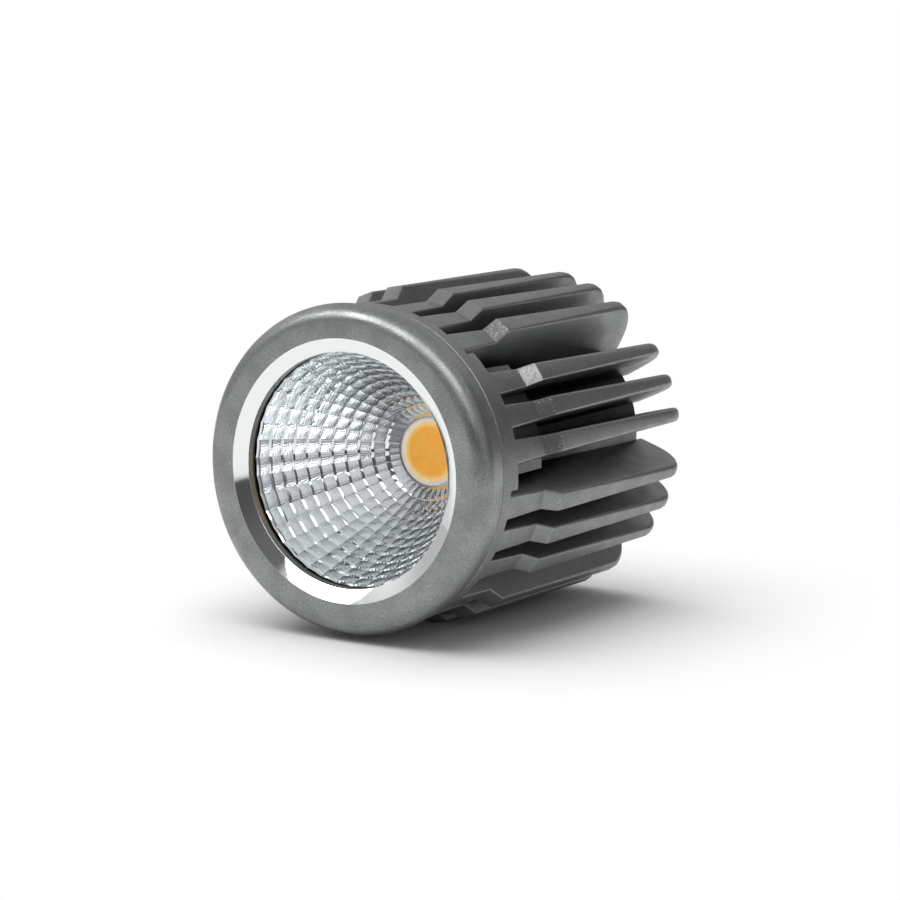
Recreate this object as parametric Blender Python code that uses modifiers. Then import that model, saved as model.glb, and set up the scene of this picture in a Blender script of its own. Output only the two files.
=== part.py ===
"""LED module: finned heat sink, front ring, faceted reflector and chip-on-board emitter.

Every piece is modelled in the module's own frame, in which z is the depth behind the front
plane and the optical axis is x = y = 0. The empty "led_module" then lays the module on its
side: depth runs along +Y, and two fins rest on the ground. Angles round the axis are given
as an onlooker in front of the module sees them, from +X towards up.
"""
import math

import bmesh
import bpy
from mathutils import Vector

# Clearances
SEAT_GAP = 0.0003
FINE_GAP = 0.00015
CUT_OVERRUN = 0.001
EMBED_DEPTH = 0.0008
MERGE_DISTANCE = 0.00001
SHARP_ANGLE = math.radians(35)

# Front ring
RING_RADIUS = 0.0251
RING_REAR_RADIUS = 0.0246
RING_BEAD_RADIUS = 0.0026
RING_BEAD_STEPS = 7
RING_REAR_DEPTH = 0.00585
RING_EDGE_CHAMFER = 0.00025
RING_STEPS = 72
LIP_OUTER_RADIUS = 0.020
LIP_INNER_RADIUS = 0.0179
LIP_DEPTH = 0.0011
LIP_REAR_DEPTH = 0.0027
THREAD_RADIUS = 0.0205

# Reflector
CUP_RIM_RADIUS = 0.01785
CUP_HOLE_RADIUS = 0.0056
CUP_WALL = 0.0008
CUP_FLANGE_THICKNESS = 0.001
CUP_COLUMNS = 40
CUP_RINGS = 11
CUP_HOLE_DEPTH = 0.0243
CUP_CURVE_SAMPLES = 400

# Heat sink: flange, hub and seat
FLANGE_RADIUS = 0.0245
FLANGE_THICKNESS = 0.00215
CAVITY_MOUTH_RADIUS = 0.0184
CAVITY_SEAT_RADIUS = 0.0142
HUB_FRONT_RADIUS = 0.0204
HUB_RADIUS = 0.0172
HUB_TAPER_DEPTH = 0.026
HUB_REAR_DEPTH = 0.060
HUB_EDGE_CHAMFER = 0.001
HUB_STEPS = 72

# Heat sink: fins
FIN_GROUPS = 8
FINS_EACH_SIDE = 1
FIN_TIP_ANGLE = math.radians(12.25)
FIN_LEAN_ANGLE = math.radians(6.0)
FIN_LOW_RADIUS = 0.0244
FIN_RADIUS = 0.0262
FIN_STEP_START = 0.0183
FIN_STEP_END = 0.0207
FIN_REAR_DEPTH = 0.062
FIN_CORNER_RADIUS = 0.006
FIN_CORNER_STEPS = 5
FIN_FRONT_THICKNESS = 0.0029
FIN_REAR_THICKNESS = 0.0019
FIN_EDGE_CHAMFER = 0.0003
FIN_END_ROUNDING = 0.0004

# Heat sink: cast block in one group, and the thicker stretch of flange in front of it
BLOCK_GROUP = 0
BLOCK_RADIUS = 0.0220
BLOCK_REAR_DEPTH = 0.022
BLOCK_HALF_ANGLE = math.radians(22.5)
SHELF_RADIUS = 0.02445
SHELF_THICKNESS = 0.002
SHELF_HALF_ANGLE = math.radians(25.9)
BLOCK_STEPS = 10

# Emitter
BOARD_SIDE = 0.01335
BOARD_THICKNESS = 0.001
BOARD_EDGE_BEVEL = 0.0002
DAM_OUTER_RADIUS = 0.0054
DAM_INNER_RADIUS = 0.00505
DAM_HEIGHT = 0.00055
DAM_CROWN_STEPS = 4
PHOSPHOR_THICKNESS = 0.00035
PHOSPHOR_CROWN = 0.00008
PHOSPHOR_RADIUS_SHARES = (1, 0.5, 0)
EMITTER_STEPS = 32
PAD_THICKNESS = 0.0005

# Solder joints on the board's contact pads
SOLDER_X = 0.004
SOLDER_EDGE_INSET = 0.00072
SOLDER_RADIUS = 0.0006
SOLDER_HEIGHT = 0.00045
SOLDER_STEPS = 16

# Board holder
HOLDER_RADIUS = 0.0136
HOLDER_WINDOW_RADIUS = 0.0078
HOLDER_WEB = 0.001
HOLDER_STEPS = 48
WIRE_SLOT_HALF_WIDTH = 0.0049
WIRE_SLOT_WALL = 0.0017

# Holder screws
SCREW_CIRCLE_RADIUS = 0.0112
SCREW_HEAD_RADIUS = 0.002
SCREW_HEAD_HEIGHT = 0.0012
SCREW_SHANK_RADIUS = 0.00125
SCREW_LENGTH = 0.009
SCREW_RECESS_WIDTH = 0.0006
SCREW_RECESS_LENGTH = 0.0022
SCREW_RECESS_DEPTH = 0.0006
SCREW_EDGE_RADIUS = 0.0005
SCREW_EDGE_STEPS = 3
SCREW_STEPS = 24

# Leads and their way out
LEAD_RADIUS = 0.0006
LEAD_HALF_SPACING = 0.0013
LEAD_BEND_RADIUS = 0.0014
LEAD_BEND_STEPS = 4
LEAD_SETBACK = 0.0012
BORE_CENTRE_RADIUS = 0.0104
BORE_RADIUS = 0.0025
BORE_STEPS = 24

# Grommet
GROMMET_NECK_RADIUS = 0.0033
GROMMET_NECK_LENGTH = 0.0032
GROMMET_FLANGE_RADIUS = 0.0046
GROMMET_FLANGE_THICKNESS = 0.0011
GROMMET_HOLE_RADIUS = 0.0022
GROMMET_EDGE_CHAMFER = 0.0002
GROMMET_STEPS = 32

# Depths that follow from the sizes above
FLANGE_FRONT_DEPTH = RING_REAR_DEPTH + SEAT_GAP
FLANGE_REAR_DEPTH = FLANGE_FRONT_DEPTH + FLANGE_THICKNESS
CUP_RIM_DEPTH = LIP_REAR_DEPTH + SEAT_GAP
CUP_FLANGE_REAR_DEPTH = CUP_RIM_DEPTH + CUP_FLANGE_THICKNESS
SPIGOT_FRONT_DEPTH = CUP_FLANGE_REAR_DEPTH + SEAT_GAP
SPIGOT_RADIUS = THREAD_RADIUS - SEAT_GAP
BOARD_FRONT_DEPTH = CUP_HOLE_DEPTH + CUP_WALL + FINE_GAP
BOARD_REAR_DEPTH = BOARD_FRONT_DEPTH + BOARD_THICKNESS
PAD_FRONT_DEPTH = BOARD_REAR_DEPTH + SEAT_GAP
PAD_REAR_DEPTH = PAD_FRONT_DEPTH + PAD_THICKNESS
SEAT_DEPTH = PAD_REAR_DEPTH + SEAT_GAP
HOLDER_REAR_DEPTH = SEAT_DEPTH - SEAT_GAP
WEB_REAR_DEPTH = BOARD_FRONT_DEPTH - SEAT_GAP
HOLDER_FRONT_DEPTH = WEB_REAR_DEPTH - HOLDER_WEB
EMITTER_BASE_DEPTH = BOARD_FRONT_DEPTH - SEAT_GAP
SCREW_HOLE_RADIUS = SCREW_SHANK_RADIUS + SEAT_GAP
LEAD_DEPTH = EMITTER_BASE_DEPTH - LEAD_RADIUS
LEAD_END_DEPTH = HUB_REAR_DEPTH - LEAD_SETBACK


def make_material(name, colour, roughness, metallic):
    """One plain finish with the colour, roughness and metallic value of the real surface."""
    material = bpy.data.materials.new(name)
    material.use_nodes = True
    shader = material.node_tree.nodes["Principled BSDF"]
    shader.inputs["Base Color"].default_value = (*colour, 1)
    shader.inputs["Roughness"].default_value = roughness
    shader.inputs["Metallic"].default_value = metallic
    return material


def direction(angle):
    """Unit vector across the axis, for an angle as seen from the front."""
    return Vector((math.cos(angle), -math.sin(angle), 0))


def across(unit):
    """Unit vector at a right angle to another, in the plane across the axis."""
    return Vector((-unit.y, unit.x, 0))


def add_object(name, mesh, material):
    """Puts a mesh on the module and shades it smooth between sharp edges."""
    mesh.materials.append(material)
    mesh.shade_smooth()
    mesh.set_sharp_from_angle(angle=SHARP_ANGLE)
    item = bpy.data.objects.new(name, mesh)
    parts.objects.link(item)
    item.parent = module
    return item


def as_cutter(item):
    """Moves an object to the cutters, where it only shapes other pieces."""
    parts.objects.unlink(item)
    cutters.objects.link(item)
    item.display_type = "WIRE"
    item.hide_render = True
    return item


def combine(item, other, operation):
    """Adds or cuts another object with an exact Boolean."""
    modifier = item.modifiers.new(f"{operation.title()} {other.name}", "BOOLEAN")
    modifier.operation = operation
    modifier.solver = "EXACT"
    modifier.object = other


def turned(name, profile, steps, material, closed=True):
    """Turns a profile of (radius, depth) pairs, rear to front down its outer side."""
    mesh = bpy.data.meshes.new(name)
    count = len(profile)
    edges = [(i, i + 1) for i in range(count - 1)]
    if closed:
        edges.append((count - 1, 0))
    mesh.from_pydata([(radius, 0, depth) for radius, depth in profile], edges, [])
    item = add_object(name, mesh, material)
    screw = item.modifiers.new("Turn", "SCREW")
    screw.axis = "Z"
    screw.steps = steps
    screw.render_steps = steps
    screw.use_merge_vertices = True
    screw.merge_threshold = MERGE_DISTANCE
    screw.use_smooth_shade = False
    return item


def round_bar(name, radius, front, rear, centre, steps, material):
    """A straight bar or a drill along the axis's direction."""
    mesh = bpy.data.meshes.new(name)
    shape = bmesh.new()
    bmesh.ops.create_cone(
        shape, cap_ends=True, segments=steps, radius1=radius, radius2=radius, depth=rear - front
    )
    shape.to_mesh(mesh)
    shape.free()
    item = add_object(name, mesh, material)
    item.location = (centre.x, centre.y, (front + rear) / 2)
    return item


def slab(name, size, centre, material):
    """A rectangular block, with its size on the mesh so that bevels stay even."""
    mesh = bpy.data.meshes.new(name)
    shape = bmesh.new()
    bmesh.ops.create_cube(shape, size=1)
    bmesh.ops.scale(shape, vec=size, verts=shape.verts)
    shape.to_mesh(mesh)
    shape.free()
    item = add_object(name, mesh, material)
    item.location = centre
    return item


def arc_points(centre_radius, centre_depth, radius, start, end, steps):
    """Points of an arc in a turned profile, at angles from the +radius direction."""
    points = []
    for i in range(steps + 1):
        angle = start + (end - start) * i / steps
        points.append((centre_radius + radius * math.cos(angle), centre_depth + radius * math.sin(angle)))
    return points


def make_front_ring():
    """Collar with a rounded bead, a flat front and the polished conical lip."""
    bead_centre = RING_RADIUS - RING_BEAD_RADIUS
    bead = arc_points(bead_centre, RING_BEAD_RADIUS, RING_BEAD_RADIUS, 0, -math.pi / 2, RING_BEAD_STEPS)
    profile = [
        (THREAD_RADIUS, RING_REAR_DEPTH),
        (RING_REAR_RADIUS - RING_EDGE_CHAMFER, RING_REAR_DEPTH),
        (RING_REAR_RADIUS, RING_REAR_DEPTH - RING_EDGE_CHAMFER),
        *bead,
        (LIP_OUTER_RADIUS, 0),
        (LIP_INNER_RADIUS, LIP_DEPTH),
        (LIP_INNER_RADIUS, LIP_REAR_DEPTH),
        (THREAD_RADIUS, LIP_REAR_DEPTH),
    ]
    return turned("front_ring", profile, RING_STEPS, grey_paint)


def cup_curve():
    """The reflector's paraboloid, in equal steps of length from its rim to its hole."""
    samples = []
    length = 0
    for i in range(CUP_CURVE_SAMPLES + 1):
        share = 1 - i / CUP_CURVE_SAMPLES
        depth = CUP_HOLE_DEPTH + (CUP_RIM_DEPTH - CUP_HOLE_DEPTH) * share
        radius = math.sqrt(CUP_HOLE_RADIUS**2 + (CUP_RIM_RADIUS**2 - CUP_HOLE_RADIUS**2) * share)
        if samples:
            length += math.dist(samples[-1][1:], (radius, depth))
        samples.append((length, radius, depth))
    curve = []
    for ring in range(CUP_RINGS + 1):
        target = length * ring / CUP_RINGS
        nearest = min(samples, key=lambda sample: abs(sample[0] - target))
        curve.append(nearest[1:])
    return curve


def cup_back(curve):
    """The cup's outer side, one wall thickness behind its mirror side."""
    slope_share = (CUP_RIM_RADIUS**2 - CUP_HOLE_RADIUS**2) / (CUP_HOLE_DEPTH - CUP_RIM_DEPTH) / 2
    back = []
    for radius, depth in curve:
        normal = Vector((radius, slope_share)).normalized()
        back.append((radius + CUP_WALL * normal.x, depth + CUP_WALL * normal.y))
    return back


def make_reflector():
    """Cup with flat facets in columns and rings, hung by its rim flange."""
    curve = cup_curve()
    back = [point for point in cup_back(curve) if point[1] > CUP_FLANGE_REAR_DEPTH]
    profile = [
        *reversed(back),
        (back[0][0], CUP_FLANGE_REAR_DEPTH),
        (SPIGOT_RADIUS, CUP_FLANGE_REAR_DEPTH),
        (SPIGOT_RADIUS, CUP_RIM_DEPTH),
        *curve,
    ]
    return turned("reflector", profile, CUP_COLUMNS, bright_mirror)


def hub_radius(depth):
    """The hub's outer radius: it narrows behind the flange, then runs straight."""
    if depth >= HUB_TAPER_DEPTH:
        return HUB_RADIUS
    share = (depth - FLANGE_REAR_DEPTH) / (HUB_TAPER_DEPTH - FLANGE_REAR_DEPTH)
    return HUB_FRONT_RADIUS + (HUB_RADIUS - HUB_FRONT_RADIUS) * share


def root_radius(depth):
    """Where fins and blocks start, inside the hub's wall."""
    return hub_radius(depth) - EMBED_DEPTH


def fin_thickness(depth):
    """The fins thin towards the rear, as a casting does for its die."""
    share = (depth - FLANGE_REAR_DEPTH) / (FIN_REAR_DEPTH - FLANGE_REAR_DEPTH)
    return FIN_FRONT_THICKNESS + (FIN_REAR_THICKNESS - FIN_FRONT_THICKNESS) * share


def fin_levels():
    """Depth, outer radius and thickness of each cross-section along a fin."""
    corner_start = FIN_REAR_DEPTH - FIN_CORNER_RADIUS
    levels = [
        (FLANGE_REAR_DEPTH - EMBED_DEPTH, FIN_LOW_RADIUS),
        (FIN_STEP_START, FIN_LOW_RADIUS),
        (FIN_STEP_END, FIN_RADIUS),
        (HUB_TAPER_DEPTH, FIN_RADIUS),
        (corner_start, FIN_RADIUS),
    ]
    for i in range(1, FIN_CORNER_STEPS + 1):
        angle = math.pi / 2 * i / FIN_CORNER_STEPS
        levels.append(
            (
                corner_start + FIN_CORNER_RADIUS * math.sin(angle),
                FIN_RADIUS - FIN_CORNER_RADIUS * (1 - math.cos(angle)),
            )
        )
    return [
        (depth, radius, fin_thickness(depth) - 2 * FIN_END_ROUNDING * (depth >= FIN_REAR_DEPTH))
        for depth, radius in levels
    ]


def on_circle(base, along, radius):
    """Where the line through a point meets a circle round the axis."""
    reach = base.dot(along)
    return base + along * (math.sqrt(reach**2 - base.length_squared + radius**2) - reach)


def fin_section(group_angle, side, depth, radius, thickness):
    """Corner points of one cross-section of a fin, with small chamfers on its outer edges."""
    along = direction(group_angle + side * FIN_LEAN_ANGLE)
    aside = across(along)
    tip = direction(group_angle + side * FIN_TIP_ANGLE) * FIN_RADIUS
    corners = []
    for sign in (1, -1):
        face = tip + aside * sign * thickness / 2
        inset = tip + aside * sign * (thickness / 2 - FIN_EDGE_CHAMFER)
        flank = [
            on_circle(face, along, root_radius(depth)),
            on_circle(face, along, radius - FIN_EDGE_CHAMFER),
            on_circle(inset, along, radius),
        ]
        corners.extend(flank if sign > 0 else reversed(flank))
    return [corner + Vector((0, 0, depth)) for corner in corners]


def group_angle(group):
    """The middle direction of a group of fins."""
    return 2 * math.pi * (group + 0.5) / FIN_GROUPS


def add_fin(shape, angle, side):
    """Extrudes a fin from section to section."""
    levels = fin_levels()
    corners = [shape.verts.new(point) for point in fin_section(angle, side, *levels[0])]
    face = shape.faces.new(corners)
    for level in levels[1:]:
        section = fin_section(angle, side, *level)
        grown = bmesh.ops.extrude_face_region(shape, geom=[face])["geom"]
        if level is not levels[1]:
            bmesh.ops.delete(shape, geom=[face], context="FACES_ONLY")
        face = next(item for item in grown if isinstance(item, bmesh.types.BMFace))
        corners = match_corners(face, corners)
        for corner, point in zip(corners, section):
            corner.co = point


def match_corners(face, corners):
    """The corners of an extruded face, in the order of the corners they came from."""
    return [min(face.verts, key=lambda vert: (vert.co - corner.co).length) for corner in corners]


def make_fins():
    """All the fins, as separate solids that only touch the hub."""
    shape = bmesh.new()
    for group in range(FIN_GROUPS):
        for side in range(-FINS_EACH_SIDE, FINS_EACH_SIDE + 1):
            add_fin(shape, group_angle(group), side)
    bmesh.ops.recalc_face_normals(shape, faces=shape.faces)
    mesh = bpy.data.meshes.new("fins")
    shape.to_mesh(mesh)
    shape.free()
    return as_cutter(add_object("fins", mesh, grey_paint))


def sector(name, outline, half_angle):
    """Sweeps an outline of (radius, depth) pairs part of the way round the axis."""
    middle = group_angle(BLOCK_GROUP)
    start = direction(middle + half_angle)
    shape = bmesh.new()
    corners = [shape.verts.new(start * radius + Vector((0, 0, depth))) for radius, depth in outline]
    face = shape.faces.new(corners)
    bmesh.ops.spin(
        shape, geom=[face], cent=(0, 0, 0), axis=(0, 0, 1), angle=2 * half_angle, steps=BLOCK_STEPS
    )
    bmesh.ops.recalc_face_normals(shape, faces=shape.faces)
    mesh = bpy.data.meshes.new(name)
    shape.to_mesh(mesh)
    shape.free()
    return as_cutter(add_object(name, mesh, grey_paint))


def make_block():
    """The cast block that fills one group of fins behind the flange."""
    front = FLANGE_REAR_DEPTH - EMBED_DEPTH
    outline = [
        (root_radius(front), front),
        (BLOCK_RADIUS, front),
        (BLOCK_RADIUS, BLOCK_REAR_DEPTH),
        (root_radius(BLOCK_REAR_DEPTH), BLOCK_REAR_DEPTH),
    ]
    return sector("cast_block", outline, BLOCK_HALF_ANGLE)


def make_shelf():
    """The thicker stretch of flange in front of the block."""
    front = FLANGE_REAR_DEPTH - EMBED_DEPTH
    rear = FLANGE_REAR_DEPTH + SHELF_THICKNESS
    outline = [
        (root_radius(front), front),
        (SHELF_RADIUS, front),
        (SHELF_RADIUS, rear),
        (root_radius(rear), rear),
    ]
    return sector("flange_shelf", outline, SHELF_HALF_ANGLE)


def screw_places():
    """The two holder screws stand level with the axis."""
    return {
        "left": direction(math.pi) * SCREW_CIRCLE_RADIUS,
        "right": direction(0) * SCREW_CIRCLE_RADIUS,
    }


def bore_centre():
    """The wire bore stands above the emitter."""
    return direction(math.pi / 2) * BORE_CENTRE_RADIUS


def make_heat_sink():
    """Flange, tapered hub with the reflector's cavity, fins, block and bores in one casting."""
    profile = [
        (0, HUB_REAR_DEPTH),
        (HUB_RADIUS - HUB_EDGE_CHAMFER, HUB_REAR_DEPTH),
        (HUB_RADIUS, HUB_REAR_DEPTH - HUB_EDGE_CHAMFER),
        (HUB_RADIUS, HUB_TAPER_DEPTH),
        (HUB_FRONT_RADIUS, FLANGE_REAR_DEPTH),
        (FLANGE_RADIUS, FLANGE_REAR_DEPTH),
        (FLANGE_RADIUS, FLANGE_FRONT_DEPTH + RING_EDGE_CHAMFER),
        (FLANGE_RADIUS - RING_EDGE_CHAMFER, FLANGE_FRONT_DEPTH),
        (SPIGOT_RADIUS, FLANGE_FRONT_DEPTH),
        (SPIGOT_RADIUS, SPIGOT_FRONT_DEPTH),
        (CAVITY_MOUTH_RADIUS, SPIGOT_FRONT_DEPTH),
        (CAVITY_SEAT_RADIUS, SEAT_DEPTH),
        (0, SEAT_DEPTH),
    ]
    item = turned("heat_sink", profile, HUB_STEPS, grey_paint, closed=False)
    for added in (make_fins(), make_block(), make_shelf()):
        combine(item, added, "UNION")
    front = SEAT_DEPTH - CUT_OVERRUN
    rear = HUB_REAR_DEPTH + CUT_OVERRUN
    bore = round_bar("wire_bore", BORE_RADIUS, front, rear, bore_centre(), BORE_STEPS, grey_paint)
    combine(item, as_cutter(bore), "DIFFERENCE")
    pocket = round_bar(
        "grommet_pocket",
        GROMMET_NECK_RADIUS + SEAT_GAP,
        HUB_REAR_DEPTH - GROMMET_NECK_LENGTH - SEAT_GAP,
        rear,
        bore_centre(),
        GROMMET_STEPS,
        grey_paint,
    )
    combine(item, as_cutter(pocket), "DIFFERENCE")
    screw_tip = HOLDER_FRONT_DEPTH - SEAT_GAP + SCREW_LENGTH
    for side, place in screw_places().items():
        hole = round_bar(
            f"seat_hole_{side}", SCREW_HOLE_RADIUS, front, screw_tip + SEAT_GAP, place, SCREW_STEPS, grey_paint
        )
        combine(item, as_cutter(hole), "DIFFERENCE")
    return item


def make_holder():
    """Moulded ring that clamps the board's corners and leaves a slot for the leads."""
    profile = [
        (HOLDER_WINDOW_RADIUS, HOLDER_REAR_DEPTH),
        (HOLDER_RADIUS, HOLDER_REAR_DEPTH),
        (HOLDER_RADIUS, HOLDER_FRONT_DEPTH),
        (HOLDER_WINDOW_RADIUS, HOLDER_FRONT_DEPTH),
    ]
    item = turned("cob_holder", profile, HOLDER_STEPS, white_plastic)
    pocket_side = BOARD_SIDE + 2 * SEAT_GAP
    pocket_length = HOLDER_REAR_DEPTH + CUT_OVERRUN - WEB_REAR_DEPTH
    pocket = slab(
        "board_pocket",
        (pocket_side, pocket_side, pocket_length),
        (0, 0, WEB_REAR_DEPTH + pocket_length / 2),
        white_plastic,
    )
    combine(item, as_cutter(pocket), "DIFFERENCE")
    slot_top = HOLDER_RADIUS - WIRE_SLOT_WALL
    slot_length = HOLDER_REAR_DEPTH - HOLDER_FRONT_DEPTH + 2 * CUT_OVERRUN
    slot = slab(
        "wire_slot",
        (2 * WIRE_SLOT_HALF_WIDTH, slot_top, slot_length),
        (0, -slot_top / 2, (HOLDER_FRONT_DEPTH + HOLDER_REAR_DEPTH) / 2),
        white_plastic,
    )
    combine(item, as_cutter(slot), "DIFFERENCE")
    for side, place in screw_places().items():
        hole = round_bar(
            f"holder_hole_{side}",
            SCREW_HOLE_RADIUS,
            HOLDER_FRONT_DEPTH - CUT_OVERRUN,
            HOLDER_REAR_DEPTH + CUT_OVERRUN,
            place,
            SCREW_STEPS,
            white_plastic,
        )
        combine(item, as_cutter(hole), "DIFFERENCE")
    return item


def make_screw(side, place):
    """Pan-head screw with a cross recess, seated on the holder."""
    seat = HOLDER_FRONT_DEPTH - SEAT_GAP
    crown = seat - SCREW_HEAD_HEIGHT
    edge = arc_points(
        SCREW_HEAD_RADIUS - SCREW_EDGE_RADIUS,
        crown + SCREW_EDGE_RADIUS,
        SCREW_EDGE_RADIUS,
        0,
        -math.pi / 2,
        SCREW_EDGE_STEPS,
    )
    profile = [
        (0, seat + SCREW_LENGTH - SEAT_GAP),
        (SCREW_SHANK_RADIUS, seat + SCREW_LENGTH - SEAT_GAP),
        (SCREW_SHANK_RADIUS, seat),
        (SCREW_HEAD_RADIUS, seat),
        *edge,
        (0, crown),
    ]
    item = turned(f"holder_screw_{side}", profile, SCREW_STEPS, zinc_steel, closed=False)
    item.location = place
    recess_length = SCREW_RECESS_DEPTH + CUT_OVERRUN
    for turn in range(2):
        width = (SCREW_RECESS_WIDTH, SCREW_RECESS_LENGTH)
        blade = slab(
            f"recess_{side}_{turn}",
            (width[turn], width[1 - turn], recess_length),
            (place.x, place.y, crown + SCREW_RECESS_DEPTH - recess_length / 2),
            zinc_steel,
        )
        combine(item, as_cutter(blade), "DIFFERENCE")
    return item


def make_emitter():
    """Board, dam and phosphor, with the thermal pad behind them."""
    board = slab(
        "cob_board",
        (BOARD_SIDE, BOARD_SIDE, BOARD_THICKNESS),
        (0, 0, BOARD_FRONT_DEPTH + BOARD_THICKNESS / 2),
        white_ceramic,
    )
    bevel = board.modifiers.new("Edges", "BEVEL")
    bevel.width = BOARD_EDGE_BEVEL
    bevel.segments = 1
    slab(
        "thermal_pad",
        (BOARD_SIDE, BOARD_SIDE, PAD_THICKNESS),
        (0, 0, PAD_FRONT_DEPTH + PAD_THICKNESS / 2),
        grey_silicone,
    )
    dam_middle = (DAM_OUTER_RADIUS + DAM_INNER_RADIUS) / 2
    dam_round = (DAM_OUTER_RADIUS - DAM_INNER_RADIUS) / 2
    dam_crown = EMITTER_BASE_DEPTH - DAM_HEIGHT + dam_round
    crown = arc_points(dam_middle, dam_crown, dam_round, 0, -math.pi, DAM_CROWN_STEPS)
    dam_profile = [(DAM_INNER_RADIUS, EMITTER_BASE_DEPTH), (DAM_OUTER_RADIUS, EMITTER_BASE_DEPTH), *crown]
    turned("cob_dam", dam_profile, EMITTER_STEPS, pale_silicone)
    phosphor_radius = DAM_INNER_RADIUS - FINE_GAP
    phosphor_front = EMITTER_BASE_DEPTH - PHOSPHOR_THICKNESS
    phosphor_profile = [(0, EMITTER_BASE_DEPTH), (phosphor_radius, EMITTER_BASE_DEPTH)]
    for share in PHOSPHOR_RADIUS_SHARES:
        phosphor_profile.append((phosphor_radius * share, phosphor_front - PHOSPHOR_CROWN * (1 - share**2)))
    turned("cob_phosphor", phosphor_profile, EMITTER_STEPS, yellow_phosphor, closed=False)


def make_solder(pole, side):
    """Rounded joint on a contact pad near the board's upper edge."""
    shoulder = math.radians(45)
    profile = [
        (0, EMITTER_BASE_DEPTH),
        (SOLDER_RADIUS, EMITTER_BASE_DEPTH),
        (SOLDER_RADIUS * math.cos(shoulder), EMITTER_BASE_DEPTH - SOLDER_HEIGHT * math.sin(shoulder)),
        (0, EMITTER_BASE_DEPTH - SOLDER_HEIGHT),
    ]
    item = turned(f"solder_{pole}", profile, SOLDER_STEPS, solder_tin, closed=False)
    item.location = (side * SOLDER_X, -(BOARD_SIDE / 2 - SOLDER_EDGE_INSET), 0)


def rounded_route(corners, radius, steps):
    """A route of straight runs whose corners are rounded to one radius."""
    points = [corners[0]]
    for before, corner, after in zip(corners, corners[1:], corners[2:]):
        back = (before - corner).normalized()
        ahead = (after - corner).normalized()
        half = back.angle(ahead) / 2
        reach = radius / math.tan(half)
        centre = corner + (back + ahead).normalized() * radius / math.sin(half)
        start = corner + back * reach - centre
        end = corner + ahead * reach - centre
        points.extend(centre + start.slerp(end, i / steps) * radius for i in range(steps + 1))
    points.append(corners[-1])
    return points


def make_lead(pole, side):
    """Insulated lead from its joint, over the board's edge and back through the bore."""
    start_height = BOARD_SIDE / 2 + SEAT_GAP
    corners = [
        Vector((side * SOLDER_X, -start_height, LEAD_DEPTH)),
        Vector((side * SOLDER_X, -(start_height + LEAD_BEND_RADIUS), LEAD_DEPTH)),
        Vector((side * LEAD_HALF_SPACING, -BORE_CENTRE_RADIUS, LEAD_DEPTH)),
        Vector((side * LEAD_HALF_SPACING, -BORE_CENTRE_RADIUS, LEAD_END_DEPTH)),
    ]
    points = rounded_route(corners, LEAD_BEND_RADIUS, LEAD_BEND_STEPS)
    curve = bpy.data.curves.new(f"lead_{pole}", "CURVE")
    curve.dimensions = "3D"
    curve.bevel_depth = LEAD_RADIUS
    curve.bevel_resolution = 2
    curve.use_fill_caps = True
    spline = curve.splines.new("POLY")
    spline.points.add(len(points) - 1)
    for place, point in zip(spline.points, points):
        place.co = (*point, 1)
    curve.materials.append(red_silicone if pole == "positive" else black_silicone)
    item = bpy.data.objects.new(f"lead_{pole}", curve)
    parts.objects.link(item)
    item.parent = module


def make_grommet():
    """Rubber inlet in the hub's rear face."""
    neck_front = HUB_REAR_DEPTH - GROMMET_NECK_LENGTH
    flange_front = HUB_REAR_DEPTH + SEAT_GAP
    flange_rear = flange_front + GROMMET_FLANGE_THICKNESS
    profile = [
        (GROMMET_HOLE_RADIUS, flange_rear),
        (GROMMET_FLANGE_RADIUS - GROMMET_EDGE_CHAMFER, flange_rear),
        (GROMMET_FLANGE_RADIUS, flange_rear - GROMMET_EDGE_CHAMFER),
        (GROMMET_FLANGE_RADIUS, flange_front),
        (GROMMET_NECK_RADIUS, flange_front),
        (GROMMET_NECK_RADIUS, neck_front),
        (GROMMET_HOLE_RADIUS, neck_front),
    ]
    item = turned("rear_grommet", profile, GROMMET_STEPS, black_rubber)
    item.location = bore_centre()


def axis_height():
    """Height of the axis above the ground on which the two lowest fins rest."""
    lowest = 0
    for group in range(FIN_GROUPS):
        for side in range(-FINS_EACH_SIDE, FINS_EACH_SIDE + 1):
            for level in fin_levels():
                section = fin_section(group_angle(group), side, *level)
                lowest = max(lowest, max(corner.y for corner in section))
    return lowest


for old in list(bpy.data.objects):
    bpy.data.objects.remove(old, do_unlink=True)
parts = bpy.data.collections.new("led_module")
cutters = bpy.data.collections.new("cutters")
bpy.context.scene.collection.children.link(parts)
bpy.context.scene.collection.children.link(cutters)
module = bpy.data.objects.new("led_module", None)
parts.objects.link(module)
module.rotation_euler = (-math.pi / 2, 0, 0)
module.location = (0, -FIN_REAR_DEPTH / 2, axis_height())

grey_paint = make_material("grey_paint", (0.16, 0.17, 0.17), 0.42, 0.6)
bright_mirror = make_material("bright_mirror", (0.82, 0.84, 0.85), 0.12, 1)
white_plastic = make_material("white_plastic", (0.8, 0.8, 0.78), 0.5, 0)
white_ceramic = make_material("white_ceramic", (0.85, 0.85, 0.83), 0.35, 0)
pale_silicone = make_material("pale_silicone", (0.75, 0.73, 0.68), 0.4, 0)
yellow_phosphor = make_material("yellow_phosphor", (0.8, 0.35, 0.02), 0.4, 0)
grey_silicone = make_material("grey_silicone", (0.3, 0.31, 0.33), 0.7, 0)
zinc_steel = make_material("zinc_steel", (0.6, 0.6, 0.6), 0.35, 1)
solder_tin = make_material("solder_tin", (0.65, 0.65, 0.66), 0.3, 1)
red_silicone = make_material("red_silicone", (0.5, 0.02, 0.02), 0.5, 0)
black_silicone = make_material("black_silicone", (0.02, 0.02, 0.02), 0.5, 0)
black_rubber = make_material("black_rubber", (0.03, 0.03, 0.03), 0.7, 0)

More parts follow.
